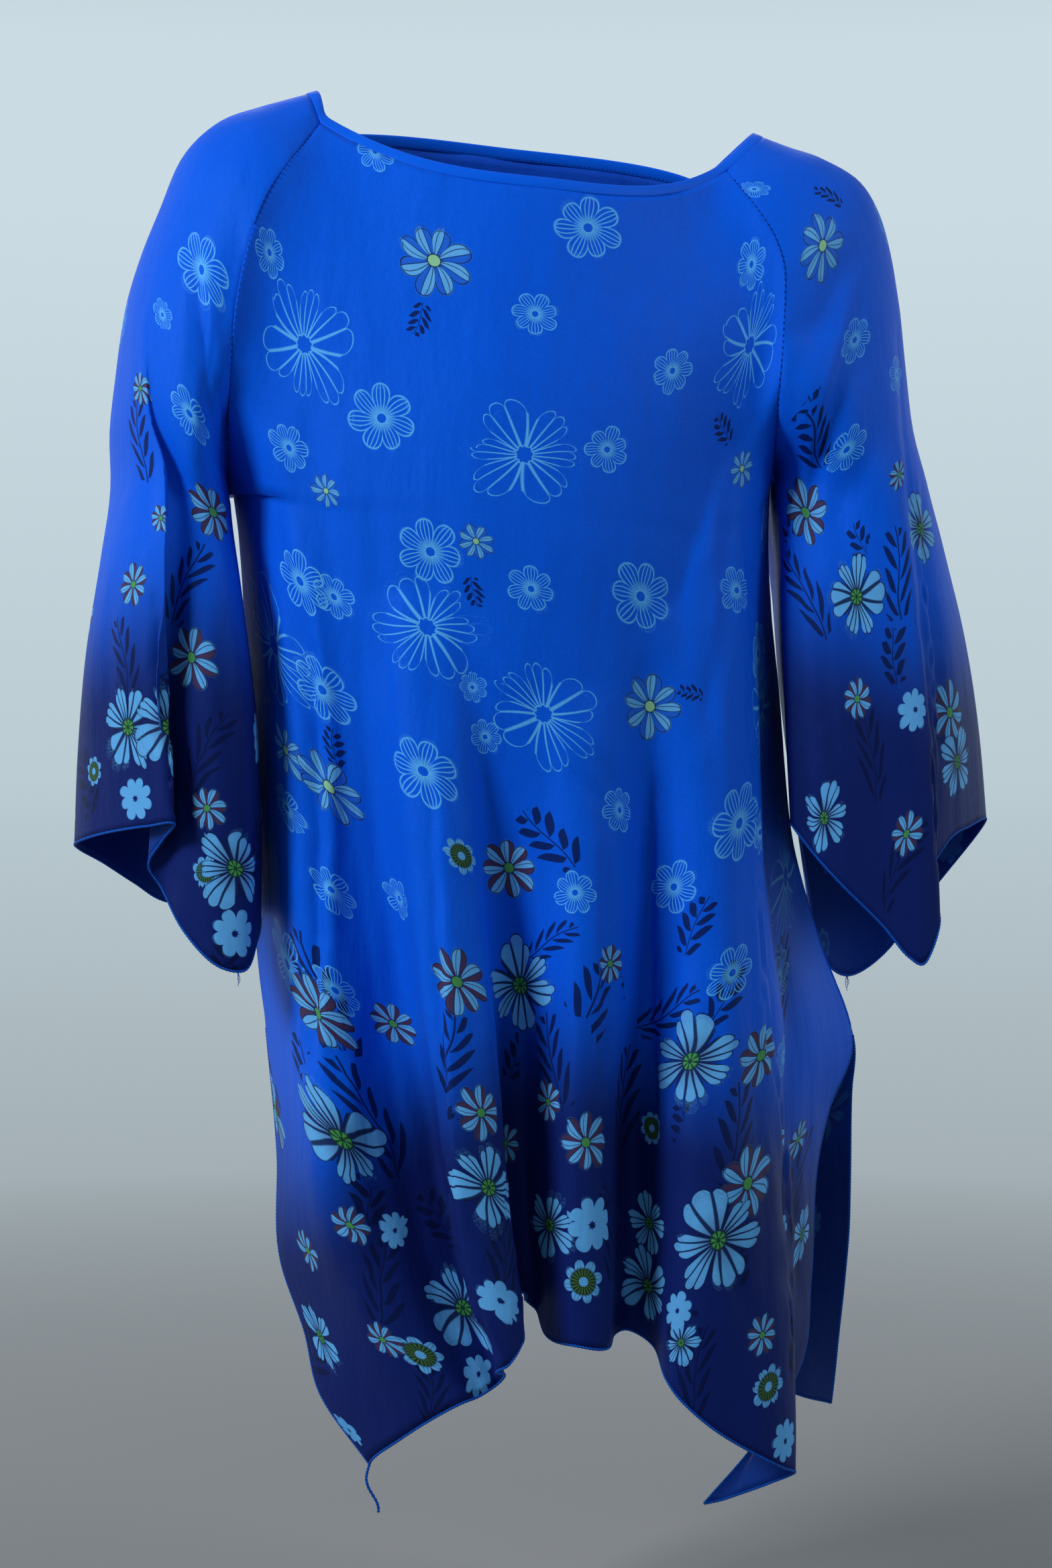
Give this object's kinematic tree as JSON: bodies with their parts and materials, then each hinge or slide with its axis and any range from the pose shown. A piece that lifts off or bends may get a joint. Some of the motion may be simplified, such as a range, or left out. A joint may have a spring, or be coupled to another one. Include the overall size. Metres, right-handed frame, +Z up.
{
  "type": "tunic top",
  "caption": "Loose jersey tunic in its worn form, with raglan flared sleeves, a wide scoop neck, side vents and a hem that dips to points.",
  "frame": {"origin": "where the shoulders hold the neckline: the middle between the two shoulder ends of the neck, level with them", "axes": "+X to the wearer's left, -Y to the front, +Z up"},
  "size_m": [0.6265, 0.3211, 0.9146],
  "materials": {
    "printed_jersey": "smooth royal blue jersey with a soft sheen, printed with pale blue flowers and shading to navy at the hems",
    "binding_jersey": "smooth royal blue jersey with a soft sheen",
    "overlock_thread": "mid-blue polyester sewing thread"
  },
  "bodies": {
    "root": {"front": "printed_jersey", "back": "printed_jersey", "sleeve_right": "printed_jersey", "sleeve_left": "printed_jersey", "neck_binding": "binding_jersey"}
  },
  "joints": []
}
